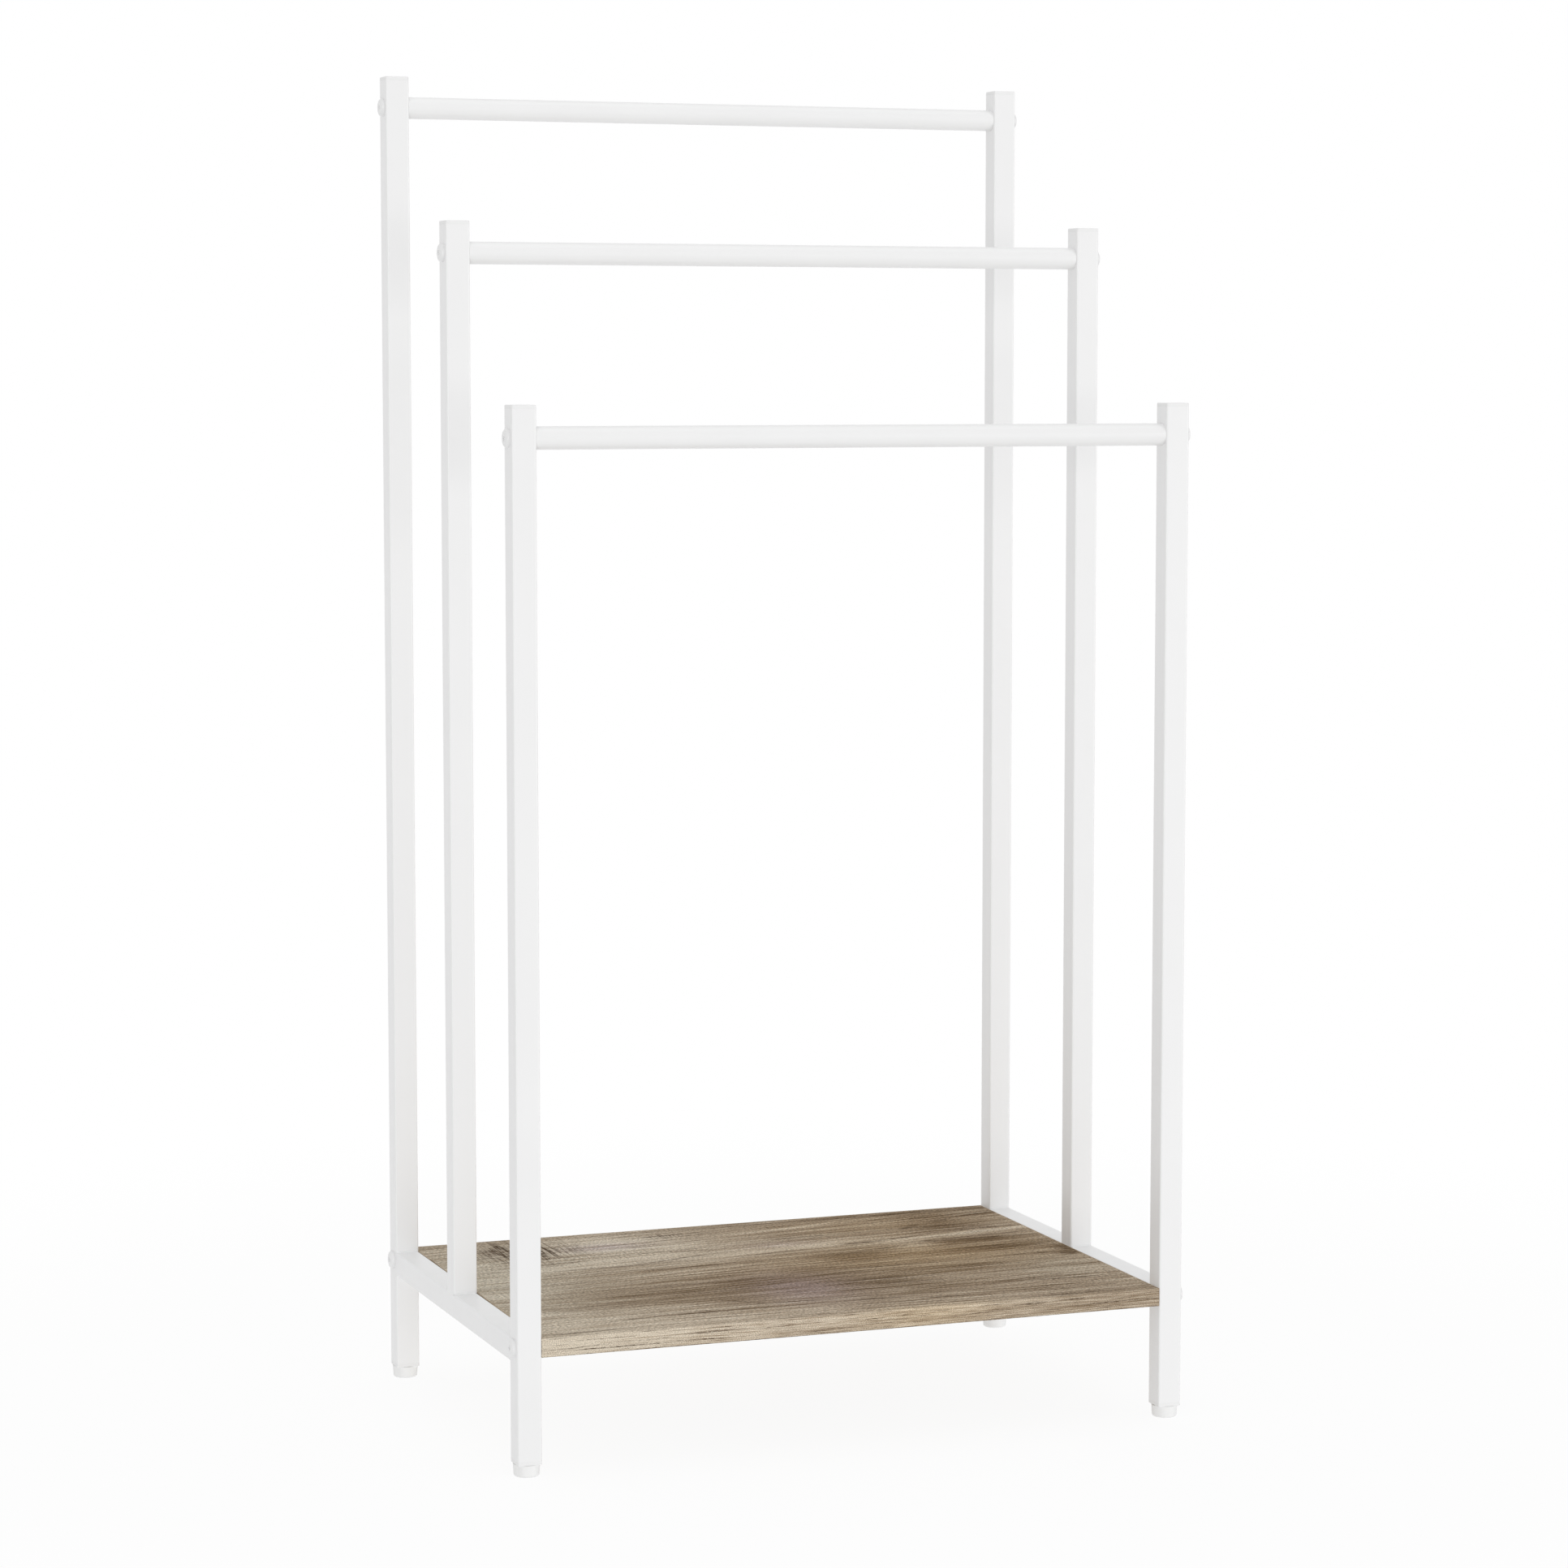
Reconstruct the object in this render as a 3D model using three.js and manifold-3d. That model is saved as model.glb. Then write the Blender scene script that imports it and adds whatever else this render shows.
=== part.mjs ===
// Free-standing towel rack: two welded side frames of square steel tube, three round
// towel bars that step up from front to back, and one laminated shelf board at the foot.
// Millimetres, +Z up. The origin is on the floor, midway between the four feet.
// -X is the left of someone who stands in front of the rack, and -Y is its front.
import * as THREE from "three";
import { mergeVertices } from "three/addons/utils/BufferGeometryUtils.js";
import Module from "manifold-3d";

// Overall sizes, over the square tubes and up to the tops of the post caps.
const WIDTH = 572;
const DEPTH = 376;
const BACK_HEIGHT = 1107;
const MIDDLE_HEIGHT = 982;
const FRONT_HEIGHT = 836.5;

// Square steel tube of the side frames.
const TUBE_SIDE = 20;
const TUBE_WALL = 1.2;
const TUBE_CORNER_RADIUS = 1.5;
const TUBE_BORE_CORNER_RADIUS = 0.5;

// Round steel tube of the towel bars, and how far its axis lies below a post's top.
const BAR_DIAMETER = 18;
const BAR_WALL = 1;
const BAR_DROP = 25.5;

// Shelf: a laminated chipboard panel, banded on its four edges, level with the rails.
const SHELF_TOP = 110;
const BOARD_THICKNESS = 15;
const EDGE_BAND_THICKNESS = 1;

// M6 button-head bolts, the same for the bars and the board.
const BOLT_DIAMETER = 6;
const BOLT_ENGAGEMENT = 15;
const BOLT_TIP_CHAMFER = 0.8;
const BOLT_HEAD_DIAMETER = 15;
const BOLT_HEAD_TOP_DIAMETER = 10;
const BOLT_HEAD_HEIGHT = 3.4;
const BOLT_HEAD_RIM_HEIGHT = 0.8;
const BOLT_SOCKET_ACROSS_FLATS = 4;
const BOLT_SOCKET_DEPTH = 2.2;

// Barbed threaded plugs pressed into the ends of the bars.
const PLUG_LENGTH = 18;
const PLUG_BARB_DEPTH = 0.8;
const PLUG_BARBS = 3;

// Screw-in threaded inserts in the board's two ends.
const INSERT_DIAMETER = 10;
const INSERT_LENGTH = 16;
const INSERT_THREAD_DEPTH = 1.1;
const INSERT_THREADS = 4;

// Moulded ends pushed into the tubes: caps on top, threaded inserts for the feet below.
const FLANGE_THICKNESS = 3;
const FLANGE_EDGE_RADIUS = 0.8;
const SKIRT_WALL = 1.5;
const SKIRT_RIB_DEPTH = 0.8;
const SKIRT_RIB_HEIGHT = 1.2;
const SKIRT_RIBS = 2;
const SKIRT_CORNER_RADIUS = 1.2;
const CAP_SKIRT_LENGTH = 10;
const FOOT_SKIRT_LENGTH = 15;
const FOOT_BOSS_DIAMETER = 10;
const FOOT_WEB_THICKNESS = 1.4;

// Levelling feet: a moulded pad on a threaded steel stud, screwed right in.
const PAD_HEIGHT = 9.7;
const PAD_TOP_DIAMETER = 21.4;
const PAD_BOTTOM_DIAMETER = 20.2;
const PAD_EDGE_RADIUS = 1.8;
const PAD_FLOOR_THICKNESS = 3;
const STUD_DIAMETER = 6;
const STUD_LENGTH = 28;
const STUD_CHAMFER = 0.8;

// Clearances: between a piece and the hole or tube that holds it, and under the posts,
// where the pads turn.
const FIT_GAP = 0.3;
const FOOT_GAP = 0.3;

// How far a cutting shape runs past the material that it cuts.
const OVERRUN = 1;

// Facets around a full turn of each round piece, and the sides of a hexagon. A square's
// corner has twice as many facets as its divisions, and so has a rounded edge.
const BAR_FACETS = 32;
const BOLT_FACETS = 16;
const BORE_FACETS = 12;
const PAD_FACETS = 20;
const HEX_SIDES = 6;
const CORNER_DIVISIONS = 1;
const EDGE_DIVISIONS = 2;

const material = (color, roughness, metalness) =>
  new THREE.MeshStandardMaterial({ color, roughness, metalness });
const MATERIALS = {
  coatedSteel: material("#ecedee", 0.42, 0),
  coatedBolt: material("#e8e9ea", 0.35, 0),
  whitePlastic: material("#e4e5e6", 0.5, 0),
  padPlastic: material("#d9dadb", 0.6, 0),
  zincSteel: material("#b4b8bb", 0.35, 1),
  board: material("#978871", 0.6, 0),
  edgeBand: material("#9e8f78", 0.6, 0),
};

const wasm = await Module();
wasm.setup();

// A closed geometry as a solid that can be joined and cut.
function solid(geometry) {
  const bare = geometry.clone();
  bare.deleteAttribute("normal");
  bare.deleteAttribute("uv");
  const merged = mergeVertices(bare);
  const vertProperties = merged.attributes.position.array;
  const triVerts = new Uint32Array(merged.index.array);
  return new wasm.Manifold(new wasm.Mesh({ numProp: 3, vertProperties, triVerts }));
}

// A joined or cut solid as a geometry again.
function geometryOf(body) {
  const { numProp, numVert, vertProperties, triVerts } = body.getMesh();
  const places = new Float32Array(3 * numVert);
  for (let i = 0; i < numVert; i++) {
    places.set(vertProperties.subarray(i * numProp, i * numProp + 3), 3 * i);
  }
  const geometry = new THREE.BufferGeometry();
  geometry.setAttribute("position", new THREE.BufferAttribute(places, 3));
  geometry.setIndex(new THREE.BufferAttribute(new Uint32Array(triVerts), 1));
  const faceted = geometry.toNonIndexed();
  faceted.computeVertexNormals();
  return faceted;
}

// A named piece made of one geometry.
function piece(name, geometry, finish) {
  const mesh = new THREE.Mesh(geometry, finish);
  mesh.name = name;
  return mesh;
}

// A group at a place, holding the given pieces.
function placed(pieces, x, y, z, turn = 0) {
  const group = new THREE.Group();
  for (const item of pieces) group.add(item);
  group.position.set(x, y, z);
  group.rotation.z = turn;
  return group;
}

// The outline of a square with rounded corners, centred on the origin.
function roundedSquare(outline, side, radius) {
  const reach = side / 2 - radius;
  const quarter = Math.PI / 2;
  outline.absarc(reach, reach, radius, 0, quarter);
  outline.absarc(-reach, reach, radius, quarter, 2 * quarter);
  outline.absarc(-reach, -reach, radius, 2 * quarter, 3 * quarter);
  outline.absarc(reach, -reach, radius, 3 * quarter, 4 * quarter);
  outline.closePath();
  return outline;
}

// A square slab with rounded corners, from z = 0 upwards.
function squareSlab(side, radius, thickness) {
  const outline = roundedSquare(new THREE.Shape(), side, radius);
  return new THREE.ExtrudeGeometry(outline, {
    depth: thickness,
    bevelEnabled: false,
    curveSegments: CORNER_DIVISIONS,
  });
}

// An upright round rod or cutter, from z = 0 upwards.
function rod(diameter, length, facets) {
  const geometry = new THREE.CylinderGeometry(diameter / 2, diameter / 2, length, facets);
  return geometry.rotateX(Math.PI / 2).translate(0, 0, length / 2);
}

// A revolved profile of radius against height, turned to stand along +Z.
function revolved(profile, facets) {
  const geometry = new THREE.LatheGeometry(profile.getPoints(EDGE_DIVISIONS), facets);
  return geometry.rotateX(Math.PI / 2);
}

// Sizes that several pieces follow.
const tubeBore = TUBE_SIDE - 2 * TUBE_WALL;
const skirtSide = tubeBore - 2 * FIT_GAP - 2 * SKIRT_RIB_DEPTH;
const postX = (WIDTH - TUBE_SIDE) / 2;
const frontPostY = -(DEPTH - TUBE_SIDE) / 2;
const innerWidth = WIDTH - 2 * TUBE_SIDE;
const boltHole = BOLT_DIAMETER + 2 * FIT_GAP;
const boltHeight = SHELF_TOP - BOARD_THICKNESS / 2;
const footTop = PAD_HEIGHT + FOOT_GAP;
const postBottom = footTop + FLANGE_THICKNESS;

// A square tube along +Z, open at both ends.
function squareTube(length) {
  const outline = roundedSquare(new THREE.Shape(), TUBE_SIDE, TUBE_CORNER_RADIUS);
  outline.holes.push(roundedSquare(new THREE.Path(), tubeBore, TUBE_BORE_CORNER_RADIUS));
  return new THREE.ExtrudeGeometry(outline, {
    depth: length,
    bevelEnabled: false,
    curveSegments: CORNER_DIVISIONS,
  });
}

// A post, drilled right through along X for a bolt at each of the given heights.
function postGeometry(length, holeHeights) {
  let body = solid(squareTube(length));
  const drillLength = TUBE_SIDE + 2 * OVERRUN;
  for (const height of holeHeights) {
    const drill = rod(boltHole, drillLength, BORE_FACETS).translate(0, 0, -drillLength / 2);
    body = body.subtract(solid(drill.rotateY(Math.PI / 2).translate(0, 0, height)));
  }
  return geometryOf(body);
}

// The side rail lies along Y between the front and back posts.
function railGeometry() {
  const length = DEPTH - 2 * TUBE_SIDE;
  return squareTube(length).rotateX(-Math.PI / 2).translate(0, -length / 2, 0);
}

// The hollow skirt that grips inside a tube, with ribs around it, from z = 0 downwards.
function ribbedSkirt(length) {
  const ribSide = skirtSide + 2 * SKIRT_RIB_DEPTH;
  const hollowSide = skirtSide - 2 * SKIRT_WALL;
  const skirt = squareSlab(skirtSide, SKIRT_CORNER_RADIUS, length);
  let body = solid(skirt.translate(0, 0, -length));
  const pitch = length / (SKIRT_RIBS + 1);
  for (let i = 1; i <= SKIRT_RIBS; i++) {
    const rib = squareSlab(ribSide, SKIRT_CORNER_RADIUS, SKIRT_RIB_HEIGHT);
    body = body.add(solid(rib.translate(0, 0, -i * pitch - SKIRT_RIB_HEIGHT / 2)));
  }
  const hollow = squareSlab(hollowSide, SKIRT_CORNER_RADIUS, length);
  return body.subtract(solid(hollow.translate(0, 0, -length)));
}

// A post cap: a flange as wide as the tube, its top edges rounded, over a ribbed skirt.
// z = 0 is the flange's underside, which rests on the tube's end.
function capGeometry() {
  const straight = FLANGE_THICKNESS - FLANGE_EDGE_RADIUS;
  const flange = squareSlab(TUBE_SIDE, TUBE_CORNER_RADIUS, straight);
  const rounded = new THREE.ExtrudeGeometry(
    roundedSquare(new THREE.Shape(), TUBE_SIDE, TUBE_CORNER_RADIUS),
    {
      depth: FLANGE_THICKNESS - 2 * FLANGE_EDGE_RADIUS,
      curveSegments: CORNER_DIVISIONS,
      bevelThickness: FLANGE_EDGE_RADIUS,
      bevelSize: FLANGE_EDGE_RADIUS,
      bevelOffset: -FLANGE_EDGE_RADIUS,
      bevelSegments: EDGE_DIVISIONS,
    },
  ).translate(0, 0, FLANGE_EDGE_RADIUS);
  const head = solid(flange).add(solid(rounded));
  return geometryOf(head.add(ribbedSkirt(CAP_SKIRT_LENGTH)));
}

// A foot insert: flange and ribbed skirt, with a threaded boss held by four webs.
// z = 0 is the flange's upper face, against the tube's lower end; the skirt points up.
function footInsertGeometry() {
  const webLength = skirtSide - SKIRT_WALL;
  const flange = squareSlab(TUBE_SIDE, TUBE_CORNER_RADIUS, FLANGE_THICKNESS);
  const boss = rod(FOOT_BOSS_DIAMETER, FOOT_SKIRT_LENGTH, BOLT_FACETS);
  const web = new THREE.BoxGeometry(webLength, FOOT_WEB_THICKNESS, FOOT_SKIRT_LENGTH);
  web.translate(0, 0, FOOT_SKIRT_LENGTH / 2);
  const crossWeb = web.clone().rotateZ(Math.PI / 2);
  const boreLength = FOOT_SKIRT_LENGTH + FLANGE_THICKNESS + 2 * OVERRUN;
  const bore = rod(STUD_DIAMETER + 2 * FIT_GAP, boreLength, BORE_FACETS);
  const skirt = ribbedSkirt(FOOT_SKIRT_LENGTH).translate([0, 0, FOOT_SKIRT_LENGTH]);
  return geometryOf(
    skirt
      .add(solid(flange.translate(0, 0, -FLANGE_THICKNESS)))
      .add(solid(boss))
      .add(solid(web))
      .add(solid(crossWeb))
      .subtract(solid(bore.translate(0, 0, -FLANGE_THICKNESS - OVERRUN))),
  );
}

// A stud with chamfered ends, along +Z.
function studGeometry() {
  const radius = STUD_DIAMETER / 2;
  const profile = new THREE.Path()
    .moveTo(0, 0)
    .lineTo(radius - STUD_CHAMFER, 0)
    .lineTo(radius, STUD_CHAMFER)
    .lineTo(radius, STUD_LENGTH - STUD_CHAMFER)
    .lineTo(radius - STUD_CHAMFER, STUD_LENGTH)
    .lineTo(0, STUD_LENGTH);
  return revolved(profile, BORE_FACETS);
}

// A foot pad: it narrows downwards, with a rounded lower edge and a blind bore on top.
function padGeometry() {
  const flat = PAD_BOTTOM_DIAMETER / 2 - PAD_EDGE_RADIUS;
  const bore = STUD_DIAMETER / 2 + FIT_GAP;
  const profile = new THREE.Path()
    .moveTo(0, 0)
    .lineTo(flat, 0)
    .absarc(flat, PAD_EDGE_RADIUS, PAD_EDGE_RADIUS, -Math.PI / 2, 0)
    .lineTo(PAD_TOP_DIAMETER / 2, PAD_HEIGHT)
    .lineTo(bore, PAD_HEIGHT)
    .lineTo(bore, PAD_FLOOR_THICKNESS)
    .lineTo(0, PAD_FLOOR_THICKNESS);
  return revolved(profile, PAD_FACETS);
}

// A bolt: its shank points along +X from the underside of the head, at x = 0.
function boltGeometry() {
  const radius = BOLT_DIAMETER / 2;
  const headRadius = BOLT_HEAD_DIAMETER / 2;
  const topRadius = BOLT_HEAD_TOP_DIAMETER / 2;
  const dome = BOLT_HEAD_HEIGHT - BOLT_HEAD_RIM_HEIGHT;
  const length = TUBE_SIDE + BOLT_ENGAGEMENT;
  const profile = new THREE.Path()
    .moveTo(0, -length)
    .lineTo(radius - BOLT_TIP_CHAMFER, -length)
    .lineTo(radius, BOLT_TIP_CHAMFER - length)
    .lineTo(radius, 0)
    .lineTo(headRadius, 0)
    .absellipse(topRadius, BOLT_HEAD_RIM_HEIGHT, headRadius - topRadius, dome, 0, Math.PI / 2)
    .lineTo(0, BOLT_HEAD_HEIGHT);
  const socketDiameter = BOLT_SOCKET_ACROSS_FLATS / Math.cos(Math.PI / HEX_SIDES);
  const socket = rod(socketDiameter, BOLT_SOCKET_DEPTH + OVERRUN, HEX_SIDES);
  socket.translate(0, 0, BOLT_HEAD_HEIGHT - BOLT_SOCKET_DEPTH);
  const body = solid(revolved(profile, BOLT_FACETS)).subtract(solid(socket));
  return geometryOf(body).rotateY(-Math.PI / 2);
}

// A threaded sleeve along +X from its open face: a plain collar, then rings of barbs or
// thread, each square towards the open face and sloping away from it.
function sleeveGeometry(outerDiameter, length, ringDepth, rings) {
  const outer = outerDiameter / 2;
  const core = outer - ringDepth;
  const bore = BOLT_DIAMETER / 2 + FIT_GAP;
  const pitch = length / (rings + 1);
  const profile = new THREE.Path().moveTo(bore, 0).lineTo(outer, 0).lineTo(outer, pitch);
  for (let i = 2; i <= rings + 1; i++) {
    profile.lineTo(core, i * pitch);
    if (i <= rings) profile.lineTo(outer, i * pitch);
  }
  profile.lineTo(bore, length).lineTo(bore, 0);
  return revolved(profile, BORE_FACETS).rotateY(Math.PI / 2);
}

// A round towel bar along X, open at both ends.
function barGeometry() {
  const radius = BAR_DIAMETER / 2;
  const outline = new THREE.Shape().absarc(0, 0, radius, 0, 2 * Math.PI);
  outline.holes.push(new THREE.Path().absarc(0, 0, radius - BAR_WALL, 0, 2 * Math.PI));
  const geometry = new THREE.ExtrudeGeometry(outline, {
    depth: innerWidth,
    bevelEnabled: false,
    curveSegments: BAR_FACETS / 2,
  });
  return geometry.rotateY(Math.PI / 2).translate(-innerWidth / 2, 0, 0);
}

// A piece of the shelf with the bores for the inserts: one at each corner, from the two
// ends, as deep as the insert or the bolt in it, whichever reaches further.
function boredForInserts(geometry) {
  const diameter = INSERT_DIAMETER + 2 * FIT_GAP;
  const depth = Math.max(INSERT_LENGTH, BOLT_ENGAGEMENT) + FIT_GAP;
  let body = solid(geometry);
  for (const side of [-1, 1]) {
    for (const end of [-1, 1]) {
      const bore = rod(diameter, depth + OVERRUN, BORE_FACETS).rotateY((-side * Math.PI) / 2);
      bore.translate(side * (innerWidth / 2 + OVERRUN), end * frontPostY, 0);
      body = body.subtract(solid(bore));
    }
  }
  return geometryOf(body);
}

// The board's core, inside its edge bands, centred on its own middle.
function boardGeometry() {
  const width = innerWidth - 2 * EDGE_BAND_THICKNESS;
  const depth = DEPTH - 2 * EDGE_BAND_THICKNESS;
  return boredForInserts(new THREE.BoxGeometry(width, depth, BOARD_THICKNESS));
}

// An edge band along the board's left or right end, drilled where the inserts go in.
function endBandGeometry(sign) {
  const depth = DEPTH - 2 * EDGE_BAND_THICKNESS;
  const band = new THREE.BoxGeometry(EDGE_BAND_THICKNESS, depth, BOARD_THICKNESS);
  return boredForInserts(band.translate((sign * (innerWidth - EDGE_BAND_THICKNESS)) / 2, 0, 0));
}

// An edge band along the board's front or back, over the ends of the other two.
function longBandGeometry(end) {
  const band = new THREE.BoxGeometry(innerWidth, EDGE_BAND_THICKNESS, BOARD_THICKNESS);
  return band.translate(0, (end * (DEPTH - EDGE_BAND_THICKNESS)) / 2, 0);
}

// The three posts of a side frame, from front to back. The middle one stands on the rail.
const POSTS = [
  { row: "front", y: frontPostY, top: FRONT_HEIGHT, bottom: postBottom, onFoot: true },
  { row: "middle", y: 0, top: MIDDLE_HEIGHT, bottom: SHELF_TOP, onFoot: false },
  { row: "back", y: -frontPostY, top: BACK_HEIGHT, bottom: postBottom, onFoot: true },
];
const SIDES = [
  { side: "left", sign: -1, turn: 0 },
  { side: "right", sign: 1, turn: Math.PI },
];

// A post with its cap and its bolts, and a foot or the rail's top below it.
function post({ side, sign, turn }, { row, y, top, bottom, onFoot }) {
  const x = sign * postX;
  const outerX = (sign * WIDTH) / 2;
  const barHeight = top - BAR_DROP;
  const length = top - FLANGE_THICKNESS - bottom;
  const holes = onFoot ? [barHeight - bottom, boltHeight - bottom] : [barHeight - bottom];
  const tube = piece(`${side}_${row}_post`, postGeometry(length, holes), MATERIALS.coatedSteel);
  const cap = piece(`${side}_${row}_post_cap`, capGeometry(), MATERIALS.whitePlastic);
  const barBolt = piece(`${side}_${row}_bar_bolt`, boltGeometry(), MATERIALS.coatedBolt);
  const group = new THREE.Group();
  group.add(placed([tube], x, y, bottom));
  group.add(placed([cap], x, y, top - FLANGE_THICKNESS));
  group.add(placed([barBolt], outerX, y, barHeight, turn));
  if (onFoot) {
    const boardBolt = piece(`${side}_${row}_board_bolt`, boltGeometry(), MATERIALS.coatedBolt);
    group.add(placed([boardBolt], outerX, y, boltHeight, turn));
    group.add(placed(foot(side, row), x, y, 0));
  }
  return group;
}

// A levelling foot under a post: the tube's insert, the stud and the pad.
function foot(side, row) {
  const insert = piece(`${side}_${row}_foot_insert`, footInsertGeometry(), MATERIALS.whitePlastic);
  const stud = piece(`${side}_${row}_foot_stud`, studGeometry(), MATERIALS.zincSteel);
  const pad = piece(`${side}_${row}_foot_pad`, padGeometry(), MATERIALS.padPlastic);
  insert.position.z = postBottom;
  stud.position.z = PAD_FLOOR_THICKNESS + FIT_GAP;
  return [insert, stud, pad];
}

// A side frame: three posts and the rail that ties them.
function sideFrame(place) {
  const group = new THREE.Group();
  group.add(...POSTS.map((row) => post(place, row)));
  const rail = piece(`${place.side}_side_rail`, railGeometry(), MATERIALS.coatedSteel);
  group.add(placed([rail], place.sign * postX, 0, SHELF_TOP - TUBE_SIDE / 2));
  return group;
}

// A towel bar between two posts, with a threaded plug in each end.
function towelBar({ row, y, top }) {
  const plugDiameter = BAR_DIAMETER - 2 * BAR_WALL - 2 * FIT_GAP;
  const group = placed([], 0, y, top - BAR_DROP);
  group.add(piece(`${row}_towel_bar`, barGeometry(), MATERIALS.coatedSteel));
  for (const { side, sign, turn } of SIDES) {
    const geometry = sleeveGeometry(plugDiameter, PLUG_LENGTH, PLUG_BARB_DEPTH, PLUG_BARBS);
    const plug = piece(`${side}_${row}_bar_plug`, geometry, MATERIALS.zincSteel);
    group.add(placed([plug], (sign * innerWidth) / 2, 0, 0, turn));
  }
  return group;
}

// The shelf: core, four edge bands and a threaded insert at each corner.
function shelf() {
  const group = placed([], 0, 0, boltHeight);
  group.add(piece("shelf_board", boardGeometry(), MATERIALS.board));
  group.add(piece("front_edge_band", longBandGeometry(-1), MATERIALS.edgeBand));
  group.add(piece("back_edge_band", longBandGeometry(1), MATERIALS.edgeBand));
  for (const { side, sign, turn } of SIDES) {
    group.add(piece(`${side}_edge_band`, endBandGeometry(sign), MATERIALS.edgeBand));
    for (const { row, y } of POSTS.filter((place) => place.onFoot)) {
      const geometry = sleeveGeometry(
        INSERT_DIAMETER,
        INSERT_LENGTH,
        INSERT_THREAD_DEPTH,
        INSERT_THREADS,
      );
      const insert = piece(`${side}_${row}_board_insert`, geometry, MATERIALS.zincSteel);
      group.add(placed([insert], (sign * innerWidth) / 2, y, 0, turn));
    }
  }
  return group;
}

const rack = new THREE.Group();
rack.add(...SIDES.map(sideFrame), ...POSTS.map(towelBar), shelf());

export default rack;
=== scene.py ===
import math

import bmesh
import bpy
from mathutils import Matrix, Vector


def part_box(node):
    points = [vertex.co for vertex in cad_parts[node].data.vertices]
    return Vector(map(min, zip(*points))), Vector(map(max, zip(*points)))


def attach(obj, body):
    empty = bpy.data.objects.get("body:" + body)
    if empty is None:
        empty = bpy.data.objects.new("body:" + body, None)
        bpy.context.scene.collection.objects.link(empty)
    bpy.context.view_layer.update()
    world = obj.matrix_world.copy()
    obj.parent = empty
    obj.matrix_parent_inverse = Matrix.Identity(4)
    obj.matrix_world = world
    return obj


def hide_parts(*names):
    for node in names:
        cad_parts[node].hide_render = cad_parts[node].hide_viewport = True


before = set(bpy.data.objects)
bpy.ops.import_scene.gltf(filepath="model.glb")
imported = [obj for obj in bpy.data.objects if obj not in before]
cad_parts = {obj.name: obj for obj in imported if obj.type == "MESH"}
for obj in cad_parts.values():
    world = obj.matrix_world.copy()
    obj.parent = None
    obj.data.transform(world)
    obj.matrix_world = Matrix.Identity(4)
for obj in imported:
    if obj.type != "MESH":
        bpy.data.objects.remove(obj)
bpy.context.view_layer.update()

# Side rails. Lengths of 20 mm square steel tube with a 1.2 mm wall, sawn off square. Each is
# welded between a front and a back post, flush with them, and powder coated with the frame.
MM = 0.001
X, Y, Z = range(3)
SIDES = ("left", "right")
TUBE_WALL = 1.2 * MM
TUBE_CORNER = 1.5 * MM
CORNER_STEPS = 6
STRAIGHT = 0.999
CREASE = math.radians(35)
COAT_WHITE = (0.845, 0.845, 0.845)
COAT_ROUGHNESS = 0.34
COAT_PEEL = 1.6 * MM
COAT_PEEL_HEIGHT = 0.008 * MM
COLOUR_DRIFT_SIZE = 90 * MM
COLOUR_DRIFT = 0.985
GLOSS_DRIFT_SIZE = 12 * MM
GLOSS_DRIFT = (-0.04, 0.05)
NOISE_RANGE = (0.3, 0.7)
# The mix node's sockets for its share, its two colours and the colour that it gives.
MIX_SHARE, MIX_FIRST, MIX_SECOND, MIX_GIVES = 0, 6, 7, 2


def set_inputs(tree, node, sockets):
    """Gives each named input of a shader node its value or its link."""
    for key, value in sockets.items():
        if isinstance(value, bpy.types.NodeSocket):
            tree.links.new(value, node.inputs[key])
        else:
            node.inputs[key].default_value = value


def add(tree, kind, sockets, **settings):
    """Adds a shader node with its settings and its inputs."""
    made = tree.nodes.new("ShaderNode" + kind)
    for key, value in settings.items():
        setattr(made, key, value)
    set_inputs(tree, made, sockets)
    return made


def noise(tree, place, size, detail=2.0, roughness=0.5):
    """Random unevenness of about the given size, from 0 to 1."""
    sockets = {"Vector": place, "Scale": 1 / size, "Detail": detail, "Roughness": roughness}
    return add(tree, "TexNoise", sockets).outputs[0]


def spread(tree, value, low, high, start=0.0, stop=1.0):
    """Carries a value that runs from start to stop over to the range from low to high."""
    sockets = {"Value": value, "From Min": start, "From Max": stop, "To Min": low, "To Max": high}
    return add(tree, "MapRange", sockets).outputs[0]


def mixed(tree, share, first, second, how="MIX"):
    """Two colours laid over each other, with a share of the second."""
    sockets = {MIX_SHARE: share, MIX_FIRST: first, MIX_SECOND: second}
    return add(tree, "Mix", sockets, data_type="RGBA", blend_type=how).outputs[MIX_GIVES]


def new_finish(name):
    """A material with its node tree, its shader and the piece's own place in metres."""
    finish = bpy.data.materials.new(name)
    finish.use_nodes = True
    tree = finish.node_tree
    return finish, tree, tree.nodes["Principled BSDF"], add(tree, "TexCoord", {}).outputs["Object"]


def skin(name, colour, roughness, grain, height, metallic=0.0):
    """A sprayed, plated or moulded skin: it drifts a little in colour and gloss, over a fine grain."""
    finish, tree, shader, place = new_finish(name)
    drift = noise(tree, place, COLOUR_DRIFT_SIZE, detail=3)
    cloud = noise(tree, place, GLOSS_DRIFT_SIZE)
    bright = (*colour, 1)
    dull = (*(COLOUR_DRIFT * part for part in colour), 1)
    tone = mixed(tree, spread(tree, drift, 0, 1, *NOISE_RANGE), dull, bright)
    smooth, rough = (roughness + change for change in GLOSS_DRIFT)
    gloss = spread(tree, cloud, smooth, rough, *NOISE_RANGE)
    bump = add(tree, "Bump", {"Height": noise(tree, place, grain), "Distance": height})
    set_inputs(tree, shader, {
        "Base Color": tone,
        "Roughness": gloss,
        "Normal": bump.outputs[0],
        "Metallic": metallic,
    })
    return finish


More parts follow.
